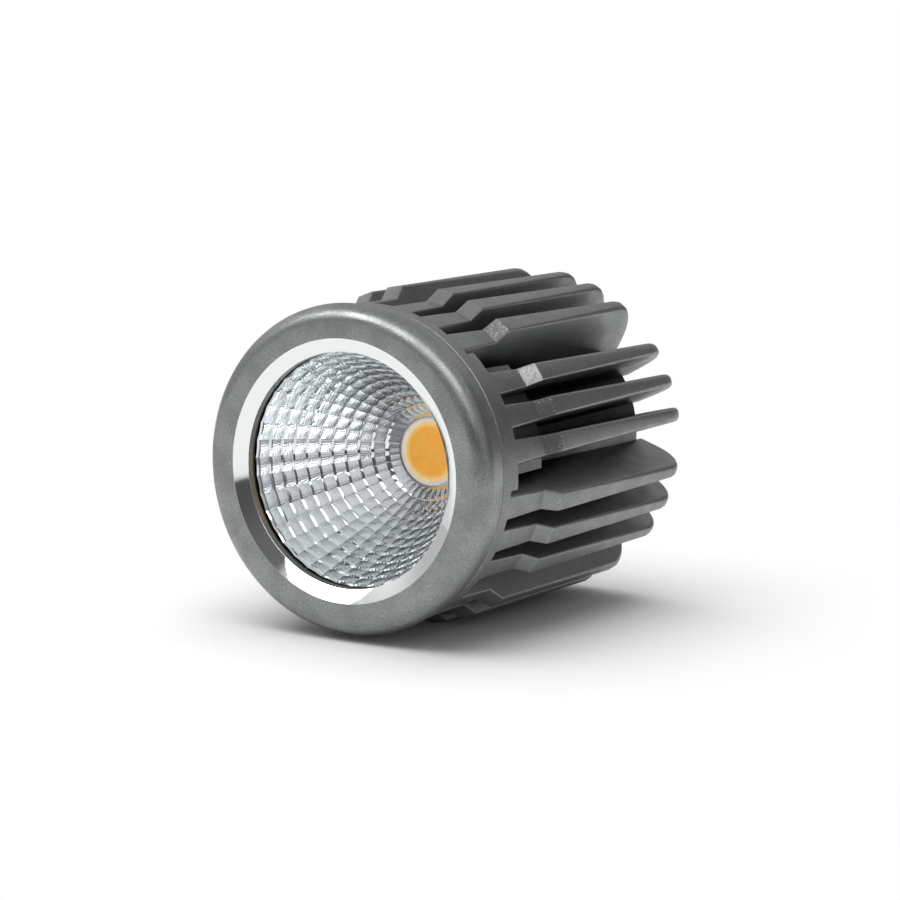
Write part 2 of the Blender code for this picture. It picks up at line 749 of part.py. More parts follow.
make_heat_sink()
make_front_ring()
make_reflector()
make_holder()
make_emitter()
for screw_side, screw_place in screw_places().items():
    make_screw(screw_side, screw_place)
for lead_pole, lead_side in (("positive", 1), ("negative", -1)):
    make_solder(lead_pole, lead_side)
    make_lead(lead_pole, lead_side)
make_grommet()
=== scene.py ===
# LED module lying on its fins on a white table
import math

import bmesh
import bpy
from mathutils import Matrix, Vector


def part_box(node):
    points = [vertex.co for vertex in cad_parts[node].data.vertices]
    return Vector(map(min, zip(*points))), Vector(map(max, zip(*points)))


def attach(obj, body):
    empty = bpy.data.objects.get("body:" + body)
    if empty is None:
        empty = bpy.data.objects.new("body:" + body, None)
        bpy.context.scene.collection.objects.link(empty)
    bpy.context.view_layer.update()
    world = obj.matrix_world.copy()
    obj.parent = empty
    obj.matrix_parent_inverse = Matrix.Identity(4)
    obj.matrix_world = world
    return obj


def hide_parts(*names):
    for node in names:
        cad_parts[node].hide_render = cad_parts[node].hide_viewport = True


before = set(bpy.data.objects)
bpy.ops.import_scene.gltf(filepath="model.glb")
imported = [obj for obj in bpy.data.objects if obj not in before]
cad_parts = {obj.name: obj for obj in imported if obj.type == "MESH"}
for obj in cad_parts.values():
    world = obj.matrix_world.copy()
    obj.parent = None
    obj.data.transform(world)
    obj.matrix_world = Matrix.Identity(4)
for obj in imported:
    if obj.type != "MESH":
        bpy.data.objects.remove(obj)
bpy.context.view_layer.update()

# Pieces are shaped in the module's own space: x to the right, y back from the front plane, z up from the axis
mm = 0.001
ringLow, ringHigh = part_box("front_ring")
axisHeight = (ringLow.z + ringHigh.z) / 2
toFrame = Matrix.Translation((0, ringLow.y, axisHeight))
print("frame loaded: axis height", round(axisHeight / mm, 2), "mm")


# Shader maths

noiseLow, noiseHigh = 0.3, 0.7  # nearly all of a noise lies between these


class Value:  # an output socket that takes part in plain expressions
    def __init__(self, nodes, socket):
        self.nodes = nodes
        self.socket = socket

    def combine(self, operation, first, second):
        return self.nodes.node("ShaderNodeMath", {"operation": operation}, {0: first, 1: second})

    def __add__(self, other):
        return self.combine("ADD", self, other)

    def __radd__(self, other):
        return self.combine("ADD", other, self)

    def __sub__(self, other):
        return self.combine("SUBTRACT", self, other)

    def __rsub__(self, other):
        return self.combine("SUBTRACT", other, self)

    def __mul__(self, other):
        return self.combine("MULTIPLY", self, other)

    def __rmul__(self, other):
        return self.combine("MULTIPLY", other, self)


class Nodes:  # a node tree under construction
    def __init__(self, tree):
        self.tree = tree

    def node(self, kind, settings=None, inputs=None, output=0):
        made = self.tree.nodes.new(kind)
        for name, setting in (settings or {}).items():
            setattr(made, name, setting)
        for name, given in (inputs or {}).items():
            self.feed(made.inputs[name], given)
        return Value(self, made.outputs[output])

    def feed(self, socket, given):
        if isinstance(given, Value):
            self.tree.links.new(given.socket, socket)
        else:
            socket.default_value = given

    def spread(self, value, low, high, start=0, end=1):  # maps a stretch of values to another, clamped
        settings = {"interpolation_type": "SMOOTHSTEP"}
        inputs = {"Value": value, "From Min": low, "From Max": high, "To Min": start, "To Max": end}
        return self.node("ShaderNodeMapRange", settings, inputs)

    def ray(self, kind):
        return self.node("ShaderNodeLightPath", output=kind)


class Paint(Nodes):  # a material under construction
    def __init__(self, name):
        self.material = bpy.data.materials.new(name)
        self.material.use_nodes = True
        super().__init__(self.material.node_tree)
        self.shader = self.tree.nodes["Principled BSDF"]
        self.place = self.node("ShaderNodeTexCoord", output="Object")

    def surface(self, **inputs):  # a socket's name has _ for a space
        for name, given in inputs.items():
            self.feed(self.shader.inputs[name.replace("_", " ")], given)
        return self.material

    def cover(self, shader):  # what the material shows in place of its plain surface
        self.feed(self.tree.nodes["Material Output"].inputs["Surface"], shader)

    def noise(self, size, detail=2, rough=0.5):  # size is that of one spot, in metres
        inputs = {"Vector": self.place, "Scale": 1 / size, "Detail": detail, "Roughness": rough}
        return self.node("ShaderNodeTexNoise", inputs=inputs, output="Fac")

    def uneven(self, noise, middle, unevenness):  # wanders with the noise, from under the middle to over it
        under, over = unevenness
        return self.spread(noise, noiseLow, noiseHigh, middle - under, middle + over)

    def blend(self, share, first, second):
        inputs = {"Factor": share, 6: first, 7: second}
        return self.node("ShaderNodeMix", {"data_type": "RGBA"}, inputs, output=2)

    def vectors(self, operation, *given, output="Vector"):
        return self.node("ShaderNodeVectorMath", {"operation": operation}, dict(enumerate(given)), output)

    def length(self, way):
        return self.vectors("LENGTH", way, output="Value")

    def facing(self, way, toward):  # cosine of the angle between two ways
        return self.vectors("DOT_PRODUCT", way, toward, output="Value")

    def fromAxis(self):  # the way from the module's axis, as a vector across it
        centred = self.vectors("SUBTRACT", self.place, (0, 0, axisHeight))
        return self.vectors("MULTIPLY", centred, (1, 0, 1))

    def around(self, angle, reach, core, least, most):  # most in the core of a sector, least past its reach
        facing = self.facing(self.vectors("NORMALIZE", self.fromAxis()), direction(angle))
        return self.spread(facing, math.cos(reach), math.cos(reach * core), least, most)

    def along(self, axis, vector):
        return self.node("ShaderNodeSeparateXYZ", inputs={0: vector}, output=axis)

    def depth(self):  # metres behind the module's front plane
        return self.along("Y", self.place) - ringLow.y

    def bump(self, height, depth):
        return self.node("ShaderNodeBump", inputs={"Height": height, "Distance": depth}, output="Normal")

    def glow(self, colour):
        return self.node("ShaderNodeEmission", inputs={"Color": colour, "Strength": 1})

    def mixShaders(self, share, first, second):
        return self.node("ShaderNodeMixShader", inputs={0: share, 1: first, 2: second})


def grey(level, warmth=0):
    return (level * (1 + warmth), level, level * (1 - warmth), 1)


def direction(angle):  # across the axis, from the right towards up
    return Vector((math.cos(angle), 0, math.sin(angle)))


# Finishes

castLook = {  # a pair says over which stretch of the noise its colour comes in
    "colour": (0.25, 0.256, 0.26, 1),
    "speckColour": grey(0.55, -0.02),
    "darkToneAndShadeColour": (0.12, 0.125, 0.13, 1),
    "speckSize": 0.24 * mm,
    "speckRough": 0.6,
    "specks": (0.56, 0.72),
    "speckShare": 0.55,
    "darkSpots": (0.46, 0.32),
    "darkShare": 0.6,
    "cloudSize": 3.5 * mm,
    "clouds": (0.4, 0.65),
    "cloudShare": 0.1,
    "grainDepth": 0.02 * mm,
    "roughness": 0.4,
    "unevenness": (0.05, 0.06),
    "metallic": 0.9,
    # painted shade towards the fin roots: it lifts with depth, is gone at the rear face, and stays in the
    # sector of the block
    "paintedShadeColour": grey(0.03),
    "fullShadeRadius": 20.6 * mm,
    "shadeFreeRadius": 24.0 * mm,
    "shadeLiftFrom": 8 * mm,
    "shadeLiftTo": 50 * mm,
    "frontReach": 0.2 * mm,
    "rearShadeLift": 5.5 * mm,
    "shadeFreeRearFrom": 59.2 * mm,
    "shadeFreeRearTo": 59.9 * mm,
    "shadedSectorAngle": math.radians(22.5),
    "shadedSectorReach": math.radians(15),
    "shadedSectorCore": 0.75,
}
ringLook = castLook | {
    "colour": (0.272, 0.285, 0.279, 1),
    "darkToneAndShadeColour": (0.115, 0.123, 0.12, 1),
    # painted shade on the wall behind the bright lip, lifted over its front stretch
    "fullShadeRadius": 18.4 * mm,
    "shadeFreeRadius": 19.8 * mm,
    "speckShare": 0.7,
    "cloudSize": 5 * mm,
    "cloudShare": 0.24,
    "roughness": 0.32,
    "shadeLiftFrom": 2.1 * mm,
    "shadeLiftTo": 2.5 * mm,
    "frontReach": 2.0 * mm,
    "rearShadeLift": 0,
    "shadedSectorReach": math.radians(0.5),
}


def sprayedPaintAndShade(name, look):  # painted shade: dark towards the roots of the fins, most so in the group with the block, less towards the rear
    paint = Paint(name)
    specks = paint.noise(look["speckSize"], detail=3, rough=look["speckRough"])
    clouds = paint.noise(look["cloudSize"], detail=3)
    speckShare = paint.spread(specks, *look["specks"]) * look["speckShare"]
    darkShare = paint.spread(specks, *look["darkSpots"]) * look["darkShare"]
    cloudShare = paint.spread(clouds, *look["clouds"]) * look["cloudShare"]
    colour = paint.blend(speckShare, look["colour"], look["speckColour"])
    colour = paint.blend(darkShare, colour, look["darkToneAndShadeColour"])
    colour = paint.blend(cloudShare, colour, look["darkToneAndShadeColour"])
    # painted shade: kept at the roots in the sector of the block, lifted with depth elsewhere, taken off at
    # the rear face
    shadedSector = paint.around(look["shadedSectorAngle"], look["shadedSectorReach"], look["shadedSectorCore"], 0, 1)
    reach = paint.spread(
        paint.depth(), look["shadeLiftFrom"], look["shadeLiftTo"], look["frontReach"], look["rearShadeLift"]
    )
    radius = paint.length(paint.fromAxis()) + (1 - shadedSector) * reach
    radius = radius + paint.spread(paint.depth(), look["shadeFreeRearFrom"], look["shadeFreeRearTo"], 0, look["shadeFreeRadius"])
    unshaded = paint.spread(radius, look["fullShadeRadius"], look["shadeFreeRadius"])
    return paint.surface(
        Base_Color=paint.blend(unshaded, look["paintedShadeColour"], colour),
        Metallic=look["metallic"],
        Roughness=paint.uneven(clouds, look["roughness"], look["unevenness"]),
        Normal=paint.bump(specks, look["grainDepth"]),
    )


wornLook = {
    "bareColour": grey(0.6),
    "bareSpot": 0.34 * mm,
    "bareRough": 0.7,
    "bare": (0.58, 0.78),
    "bareRoughness": 0.36,
    "grainDepth": 0.03 * mm,
    "worstAngle": math.radians(35),
    "worstReach": math.radians(11),
    "leastWear": 0.01,
    "mostWear": 0.26,
    "lightAngle": math.radians(54),
    "lightReach": math.radians(13),
    "lightWear": 0.09,
    "edgeStart": 20.2 * mm,
    "edgeEnd": 20.7 * mm,
    "edgeWear": 0.09,
    "shadedSectorAngle": math.radians(16.4),
    "shadedSectorReach": math.radians(14),
    "shadedSectorCore": 0.7,
}


def wornPaint():  # paint that is rubbed down to the metal, most on the fin beside the block; the steps in the sector of the block get painted shade
    paint = Paint("wornStepAndShade")
    look = wornLook
    paintRoughness, paintMetallic = castLook["roughness"], castLook["metallic"]
    specks = paint.noise(look["bareSpot"], detail=4, rough=look["bareRough"])
    worn = paint.around(look["worstAngle"], look["worstReach"], 0, look["leastWear"], look["mostWear"])
    worn = worn + paint.around(look["lightAngle"], look["lightReach"], 0, 0, look["lightWear"])
    worn = worn + paint.spread(paint.depth(), look["edgeStart"], look["edgeEnd"], 0, look["edgeWear"])
    bare = paint.spread(specks + worn, *look["bare"])
    # painted shade on the steps in the sector beside the block
    shadedSector = paint.around(look["shadedSectorAngle"], look["shadedSectorReach"], look["shadedSectorCore"], 0, 1)
    painted = paint.blend(shadedSector, castLook["colour"], castLook["darkToneAndShadeColour"])
    return paint.surface(
        Base_Color=paint.blend(bare, painted, look["bareColour"]),
        Metallic=paintMetallic + bare * (1 - paintMetallic),
        Roughness=paintRoughness - bare * (paintRoughness - look["bareRoughness"]),
        Normal=paint.bump(specks, look["grainDepth"]),
    )


lipLook = {
    "colour": (0.82, 0.835, 0.835, 1),
    "roughness": 0.045,
    "unevenness": (0.03, 0.04),
    "filmSize": 2 * mm,
    "grooveWidth": 0.08 * mm,
    "grooveDepth": 0.0007 * mm,
}


def turnedMetal():  # bright lip with the fine circular marks of the lathe
    paint = Paint("turnedLip")
    marks = paint.node(
        "ShaderNodeTexNoise",
        {"noise_dimensions": "1D"},
        {"W": paint.along("Y", paint.place), "Scale": 1 / lipLook["grooveWidth"], "Detail": 2},
        output="Fac",
    )
    film = paint.noise(lipLook["filmSize"])
    return paint.surface(
        Base_Color=lipLook["colour"],
        Metallic=1,
        Roughness=paint.uneven(film, lipLook["roughness"], lipLook["unevenness"]),
        Normal=paint.bump(marks, lipLook["grooveDepth"]),
    )


mirrorLook = {
    "colour": (0.76, 0.785, 0.795, 1),
    "roughness": 0.08,
    "unevenness": (0.02, 0.03),
    "hazeSize": 3 * mm,
    "rippleSize": 0.9 * mm,
    "ripple": 0.006 * mm,
}


def mirrorCoat():  # vacuum-metallised plastic: bright, with a faint ripple from the mould
    paint = Paint("mirrorCoat")
    ripple = paint.noise(mirrorLook["rippleSize"], detail=1)
    haze = paint.noise(mirrorLook["hazeSize"])
    return paint.surface(
        Base_Color=mirrorLook["colour"],
        Metallic=1,
        Roughness=paint.uneven(haze, mirrorLook["roughness"], mirrorLook["unevenness"]),
        Normal=paint.bump(ripple, mirrorLook["ripple"]),
    )


softLook = {"cloudGrains": 6, "unevenness": (0.05, 0.05)}


def softFinish(name, colour, roughness, grainSize, grainDepth, variation=0.12, glow=0):
    paint = Paint(name)
    clouds = paint.noise(grainSize * softLook["cloudGrains"])
    darker = tuple(level * (1 - variation) for level in colour[:3])
    return paint.surface(
        Base_Color=paint.blend(paint.spread(clouds, noiseLow, noiseHigh), (*darker, 1), colour),
        Roughness=paint.uneven(clouds, roughness, softLook["unevenness"]),
        Normal=paint.bump(paint.noise(grainSize, detail=3), grainDepth),
        # where glow is set, it is painted light
        Emission_Color=colour,
        Emission_Strength=glow,
    )


metalLook = {"dark": 0.85, "spots": (0.35, 0.65), "unevenness": (0.06, 0.1), "scratchDepth": 0.004 * mm}


def plainMetal(name, colour, roughness, scratchSize):
    paint = Paint(name)
    spots = paint.noise(scratchSize, detail=4)
    darker = tuple(level * metalLook["dark"] for level in colour[:3])
    return paint.surface(
        Base_Color=paint.blend(paint.spread(spots, *metalLook["spots"]), (*darker, 1), colour),
        Metallic=1,
        Roughness=paint.uneven(spots, roughness, metalLook["unevenness"]),
        Normal=paint.bump(spots, metalLook["scratchDepth"]),
    )


phosphorLook = {
    "middle": (0.85, 0.36, 0.035, 1),
    "cloud": (0.80, 0.40, 0.06, 1),
    "cloudSize": 1.5 * mm,
    "clouds": (0.35, 0.65),
    "edge": (0.84, 0.60, 0.24, 1),
    "edgeFrom": 3.5 * mm,
    "edgeTo": 4.7 * mm,
    "roughness": 0.38,
    "grainSize": 0.12 * mm,
    "grainDepth": 0.004 * mm,
    # painted glow, standing in for light on the gel
    "glow": 0.42,
}


def phosphorGel():  # paler at its edge, and given a painted glow, though it is no lamp
    paint = Paint("phosphorGel")
    grain = paint.noise(phosphorLook["grainSize"], detail=3)
    clouds = paint.spread(paint.noise(phosphorLook["cloudSize"]), *phosphorLook["clouds"])
    edge = paint.spread(paint.length(paint.fromAxis()), phosphorLook["edgeFrom"], phosphorLook["edgeTo"])
    colour = paint.blend(clouds, phosphorLook["middle"], phosphorLook["cloud"])
    colour = paint.blend(edge, colour, phosphorLook["edge"])
    return paint.surface(
        Base_Color=colour,
        Roughness=phosphorLook["roughness"],
        Normal=paint.bump(grain, phosphorLook["grainDepth"]),
        Emission_Color=colour,
        Emission_Strength=phosphorLook["glow"],
    )


sprayedAndShaded = sprayedPaintAndShade("castPaintAndShade", castLook)
ringSprayedAndShaded = sprayedPaintAndShade("ringPaintAndShade", ringLook)
worn = wornPaint()
brightLip = turnedMetal()
mirror = mirrorCoat()
phosphorFinish = phosphorGel()
# the pale dam gets a painted glow in place of light that does not reach it
damFinish = softFinish("damSilicone", grey(0.75, 0.05), 0.35, 0.1 * mm, 0.002 * mm, glow=0.3)
padFinish = softFinish("padSilicone", grey(0.3, -0.03), 0.7, 0.15 * mm, 0.006 * mm)
holderFinish = softFinish("holderPlastic", grey(0.8, 0.01), 0.45, 0.2 * mm, 0.004 * mm, variation=0.05)
boardFinish = softFinish("boardCoat", grey(0.85, 0.01), 0.3, 0.3 * mm, 0.002 * mm, variation=0.04)
rubberFinish = softFinish("grommetRubber", grey(0.03), 0.62, 0.12 * mm, 0.006 * mm, variation=0.3)
redFinish = softFinish("redInsulation", (0.5, 0.02, 0.02, 1), 0.42, 0.15 * mm, 0.003 * mm)
blackFinish = softFinish("blackInsulation", grey(0.02), 0.42, 0.15 * mm, 0.003 * mm)
screwFinish = plainMetal("zincScrew", grey(0.6), 0.32, 0.3 * mm)
solderFinish = plainMetal("solderTin", grey(0.66), 0.26, 0.4 * mm)
print("finishes made:", len(bpy.data.materials))


# Shared shaping steps

mergeDistance = 0.001 * mm


def rounded(corners, steps=5):  # (radius, depth, fillet) corners in mm, to points in metres
    count = len(corners)
    places = [Vector((radius * mm, depth * mm)) for radius, depth, _ in corners]
    outline = []
    for index, (corner, (_, _, fillet)) in enumerate(zip(places, corners)):
        if not fillet:
            outline.append(corner)
            continue
        back = (places[index - 1] - corner).normalized()
        ahead = (places[(index + 1) % count] - corner).normalized()
        half = back.angle(ahead) / 2
        centre = corner + (back + ahead).normalized() * fillet * mm / math.sin(half)
        start = corner + back * fillet * mm / math.tan(half) - centre
        end = corner + ahead * fillet * mm / math.tan(half) - centre
        for step in range(steps + 1):
            outline.append(centre + start.slerp(end, step / steps) * fillet * mm)
    return outline


def turn(bm, outline, steps, closed=True):
    order = bm.verts.layers.int.new("order")  # the spin copies it, so it tells which point a vertex came from
    verts = []
    for index, point in enumerate(outline):
        verts.append(bm.verts.new((point.x, point.y, 0)))
        verts[-1][order] = index
    edges = [bm.edges.new(pair) for pair in zip(verts, verts[1:])]
    if closed:
        edges.append(bm.edges.new((verts[-1], verts[0])))
    bmesh.ops.spin(
        bm, geom=verts + edges, cent=(0, 0, 0), axis=(0, 1, 0), angle=2 * math.pi, steps=steps, use_merge=True
    )
    bmesh.ops.remove_doubles(bm, verts=bm.verts, dist=mergeDistance)
    bmesh.ops.recalc_face_normals(bm, faces=bm.faces)


def makeObject(name, bm, finishes):
    mesh = bpy.data.meshes.new(name)
    bm.to_mesh(mesh)
    bm.free()
    for finish in finishes:
        mesh.materials.append(finish)
    piece = bpy.data.objects.new(name, mesh)
    bpy.context.scene.collection.objects.link(piece)
    return piece


def makePiece(name, bm, finishes, sharpAngle=35, place=Vector()):
    bmesh.ops.translate(bm, vec=place, verts=bm.verts)
    bmesh.ops.transform(bm, matrix=toFrame, verts=bm.verts)
    piece = makeObject(name, bm, finishes)
    piece.data.shade_smooth()
    piece.data.set_sharp_from_angle(angle=math.radians(sharpAngle))
    return piece


def putOn(piece, slotName, *nodes):
    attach(piece, "root")
    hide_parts(*nodes)


# Front ring, with its bright conical lip

ring = {
    "outer": 25.1,
    "rear": 24.6,
    "rearRound": 0.45,
    "bead": 2.6,
    "beadRound": 2.59,
    "rearDepth": 5.98,
    "lipOuter": 20.0,
    "lipOuterRound": 0.06,
    "lipInner": 17.9,
    "lipInnerRound": 0.08,
    "lipDepth": 1.1,
    "lipRearDepth": 2.7,
    "lipRearRound": 0.1,
    "lipMargin": 0.03,
    "thread": 20.5,
    "steps": 240,
    "roundSteps": 8,
}


def frontRing():
    corners = [
        (ring["thread"], ring["rearDepth"], 0),
        (ring["rear"], ring["rearDepth"], ring["rearRound"]),
        (ring["outer"], ring["bead"], 0),
        (ring["outer"], 0, ring["beadRound"]),
        (ring["lipOuter"], 0, ring["lipOuterRound"]),
        (ring["lipInner"], ring["lipDepth"], ring["lipInnerRound"]),
        (ring["lipInner"], ring["lipRearDepth"], ring["lipRearRound"]),
        (ring["thread"], ring["lipRearDepth"], 0),
    ]
    bm = bmesh.new()
    turn(bm, rounded(corners, ring["roundSteps"]), ring["steps"])
    lipEdge = (ring["lipOuter"] + ring["lipMargin"]) * mm
    lipEnd = (ring["lipDepth"] + ring["lipMargin"]) * mm
    for face in bm.faces:
        centre = face.calc_center_median()
        face.material_index = int(math.hypot(centre.x, centre.z) < lipEdge and centre.y < lipEnd)
    return makePiece("frontRing", bm, [ringSprayedAndShaded, brightLip], sharpAngle=30)


putOn(frontRing(), "ring_grey", "front_ring")
print("front ring made")


# Reflector cup with swelling facets

cup = {
    "rim": 17.85,
    "hole": 5.6,
    "rimDepth": 3.0,
    "holeDepth": 24.3,
    "wall": 0.8,
    "flange": 20.2,
    "flangeThickness": 1.0,
    "columns": 40,
    "rings": 11,
    "fine": 8,
    "samples": 600,
    "bulgeAlong": 0.15,
    "bulgeAcross": 0.09,
    "peak": 0.24,
    "steepRoundness": 1.6,
    "roundness": 2.5,
}


def cupRadius(depth):  # of a parabola through the rim and the hole
    share = (cup["holeDepth"] - depth) / (cup["holeDepth"] - cup["rimDepth"])
    return math.sqrt(cup["hole"] ** 2 + (cup["rim"] ** 2 - cup["hole"] ** 2) * share)


def cupSteps(count):  # points that part the cup's curve into equal lengths, from the rim
    samples, run = cup["samples"], cup["holeDepth"] - cup["rimDepth"]
    depths = [cup["rimDepth"] + run * i / samples for i in range(samples + 1)]
    points = [Vector((cupRadius(depth), depth)) for depth in depths]
    lengths = [0]
    for before, after in zip(points, points[1:]):
        lengths.append(lengths[-1] + (after - before).length)
    chosen = []
    for step in range(count + 1):
        target = lengths[-1] * step / count
        chosen.append(points[min(range(samples + 1), key=lambda i: abs(lengths[i] - target))])
    return chosen


def reflectorCup():
    fine = cup["fine"]
    knots = cupSteps(cup["rings"])
    curve = []
    for near, far in zip(knots, knots[1:]):
        curve.extend(near.lerp(far, i / fine) for i in range(fine))
    curve.append(knots[-1])
    slope = (cup["rim"] ** 2 - cup["hole"] ** 2) / (cup["holeDepth"] - cup["rimDepth"]) / 2
    flangeRear = cup["rimDepth"] + cup["flangeThickness"]
    back = [point + Vector((point.x, slope)).normalized() * cup["wall"] for point in knots]
    back = [point for point in back if point.y > flangeRear]
    outline = [
        *reversed(back),
        Vector((back[0].x, flangeRear)),
        Vector((cup["flange"], flangeRear)),
        Vector((cup["flange"], cup["rimDepth"])),
        *curve,
    ]
    bm = bmesh.new()
    turn(bm, [point * mm for point in outline], cup["columns"] * fine)
    pillow(bm, firstLevel=len(outline) - len(curve))
    return makePiece("reflectorCup", bm, [mirror], sharpAngle=8)


def swell(share):  # a facet rises fast from its side towards the rim and falls slowly to the next one
    peak = cup["peak"]
    if share < peak:
        return 1 - ((peak - share) / peak) ** cup["steepRoundness"]
    return 1 - ((share - peak) / (1 - peak)) ** cup["roundness"]


def pillow(bm, firstLevel):  # makes each facet flat across, then lets it swell, most along the axis
    fine, step = cup["fine"], 2 * math.pi / cup["columns"]
    order = bm.verts.layers.int["order"]
    for vert in bm.verts:
        if vert[order] < firstLevel:
            continue
        radius = math.hypot(vert.co.x, vert.co.z)
        heading = math.atan2(vert.co.z, vert.co.x)
        along = (heading / step) % 1
        across = (vert[order] - firstLevel) / fine % 1
        flat = math.cos(step / 2) / math.cos((along - 0.5) * step)
        rise = swell(across) * cup["bulgeAlong"] * mm
        rise = rise + 4 * along * (1 - along) * cup["bulgeAcross"] * radius / cup["rim"]
        radius = radius * flat - rise
        vert.co.x = radius * math.cos(heading)
        vert.co.z = radius * math.sin(heading)


putOn(reflectorCup(), "mirror_cup", "reflector")
print("reflector made")


# Heat sink: one casting with its flange, hub, fins, block and seat

sink = {
    "flange": 24.62,
    "flangeFront": 6.04,
    "flangeFrontRound": 0.3,
    "flangeRear": 8.3,
    "flangeRearRound": 0.2,
    "spigot": 20.2,
    "spigotFront": 4.3,
    "cavityMouth": 18.4,
    "cavitySeat": 14.2,
    "seat": 27.35,
    "hubFront": 20.4,
    "hub": 17.2,
    "hubTaper": 26.0,
    "hubRear": 60.0,
    "hubRearRound": 0.8,
    "embed": 0.8,
    "steps": 180,
    "sharpAngle": 32,
}

block = {  # the cast block between the fins of one group, and the low shelf round it
    "angle": math.radians(22.5),
    "halfAngle": math.radians(22.5),
    "frontRadius": 22.0,
    "rearRadius": 21.5,
    "rear": 22.0,
    "shelfHalfAngle": math.radians(25.9),
    "shelfRadius": 24.45,
    "shelfRear": 10.3,
    "steps": 24,
}

fin = {
    "groups": 8,
    "tipAngle": math.radians(12.25),
    "leanAngle": math.radians(6),
    "low": 24.4,
    "high": 26.18,
    "stepStart": 18.3,
    "stepEnd": 20.7,
    "stepRound": 0.35,
    "rear": 62.0,
    "corner": 6.0,
    "innerCorner": 0.8,
    "frontThickness": 3.2,
    "rearThickness": 2.1,
    "flare": 0.5,
    "draft": math.radians(2),
    "frontRound": 0.28,
    "rearRound": 0.85,
    "roundFrom": 52.0,
    "roundTo": 57.0,
    "arcs": 4,
    "roundSteps": 6,
    "wornMargin": 0.3,
    "wornTilt": 0.25,
}


def hubRadius(depth):
    if depth >= sink["hubTaper"]:
        return sink["hub"]
    share = (depth - sink["flangeRear"]) / (sink["hubTaper"] - sink["flangeRear"])
    return sink["hubFront"] + (sink["hub"] - sink["hubFront"]) * share


def finThickness(depth):  # at the tip: it flares into the flange and thins towards the rear
    share = (depth - sink["flangeRear"]) / (fin["rear"] - sink["flangeRear"])
    flare = fin["flare"] * max((fin["stepStart"] - depth) / (fin["stepStart"] - sink["flangeRear"]), 0)
    return fin["frontThickness"] + (fin["rearThickness"] - fin["frontThickness"]) * share + flare


def finRound(depth):  # of a fin's edges, which are blunter at the rear
    share = (depth - fin["roundFrom"]) / (fin["roundTo"] - fin["roundFrom"])
    return fin["frontRound"] + (fin["rearRound"] - fin["frontRound"]) * min(max(share, 0), 1)


def onCircle(base, along, radius):  # where a line from the base meets the circle round the axis
    reach = base.dot(along)
    return base + along * (math.sqrt(reach**2 - base.length_squared + radius**2) - reach)


def finOutline():
    front = sink["flangeRear"] - sink["embed"]
    corners = [
        (sink["hub"] - sink["embed"], sink["hubTaper"], 0),
        (hubRadius(front) - sink["embed"], front, 0),
        (fin["low"], front, 0),
        (fin["low"], fin["stepStart"], fin["stepRound"]),
        (fin["high"], fin["stepEnd"], fin["stepRound"]),
        (fin["high"], fin["rear"], fin["corner"]),
        (sink["hub"] - sink["embed"], fin["rear"], fin["innerCorner"]),
        (sink["hub"] - sink["embed"], sink["hubRear"] - sink["embed"], 0),
    ]
    return [point / mm for point in rounded(corners, fin["roundSteps"])]


def inwardNormals(outline):
    normals = []
    for index, point in enumerate(outline):
        before = outline[max(index - 1, 0)]
        after = outline[min(index + 1, len(outline) - 1)]
        run = (after - before).normalized()
        normals.append(Vector((-run.y, run.x)))
    return normals


def addFin(bm, groupAngle, side):  # a grid that runs over one flank, round the edge and over the other flank
    outline = finOutline()
    inward = inwardNormals(outline)
    arcs = fin["arcs"]
    across, along = 2 * arcs + 1, len(outline) - 1
    lean = direction(groupAngle + side * fin["leanAngle"])
    aside = Vector((-lean.z, 0, lean.x))
    tip = direction(groupAngle + side * fin["tipAngle"]) * fin["high"]
    rims = [[None] * (across + 1) for _ in range(along + 1)]
    for vert in bmesh.ops.create_grid(bm, x_segments=along, y_segments=across, size=1)["verts"]:
        i = round((vert.co.x + 1) / 2 * along)
        j = round((vert.co.y + 1) / 2 * across)
        rims[i][j] = vert
        turned = math.pi / 2 * min(j, across - j) / arcs
        radius = finRound(outline[i].y)
        place = outline[i] + inward[i] * radius * (1 - math.sin(turned))
        half = finThickness(place.y) / 2 - radius + radius * math.cos(turned)
        sign = 1 if j <= arcs else -1
        flank = (lean - aside * sign * math.tan(fin["draft"])).normalized()
        point = onCircle(tip + aside * half * sign, flank, place.x)
        vert.co = Vector((point.x, place.y, point.z)) * mm
    for j in (0, across):
        bm.faces.new([rim[j] for rim in rims])
    bm.faces.new(rims[0] + rims[-1][::-1])


def markSteps(bm):  # the sloped steps show worn paint
    first, last = fin["stepStart"] - fin["wornMargin"], fin["stepEnd"] + fin["wornMargin"]
    for face in bm.faces:
        onStep = first < face.calc_center_median().y / mm < last
        face.material_index = int(onStep and face.normal.y < -fin["wornTilt"])


def fins():
    bm = bmesh.new()
    for group in range(fin["groups"]):
        for side in (-1, 0, 1):
            addFin(bm, 2 * math.pi * (group + 0.5) / fin["groups"], side)
    bmesh.ops.recalc_face_normals(bm, faces=bm.faces)
    markSteps(bm)
    return makePiece("fins", bm, [sprayedAndShaded, worn])


def pad(name, frontRadius, rearRadius, rear, halfAngle):  # cast on behind the flange, part of the way round
    front = sink["flangeRear"] - sink["embed"]
    corners = [
        (hubRadius(front) - sink["embed"], front),
        (frontRadius, front),
        (rearRadius, rear),
        (hubRadius(rear) - sink["embed"], rear),
    ]
    bm = bmesh.new()
    start = direction(block["angle"] - halfAngle)
    verts = [bm.verts.new((start * radius + Vector((0, depth, 0))) * mm) for radius, depth in corners]
    face = bm.faces.new(verts)
    bmesh.ops.spin(
        bm, geom=[face], cent=(0, 0, 0), axis=(0, 1, 0), angle=-2 * halfAngle, steps=block["steps"]
    )
    bmesh.ops.recalc_face_normals(bm, faces=bm.faces)
    return makePiece(name, bm, [sprayedAndShaded, worn])


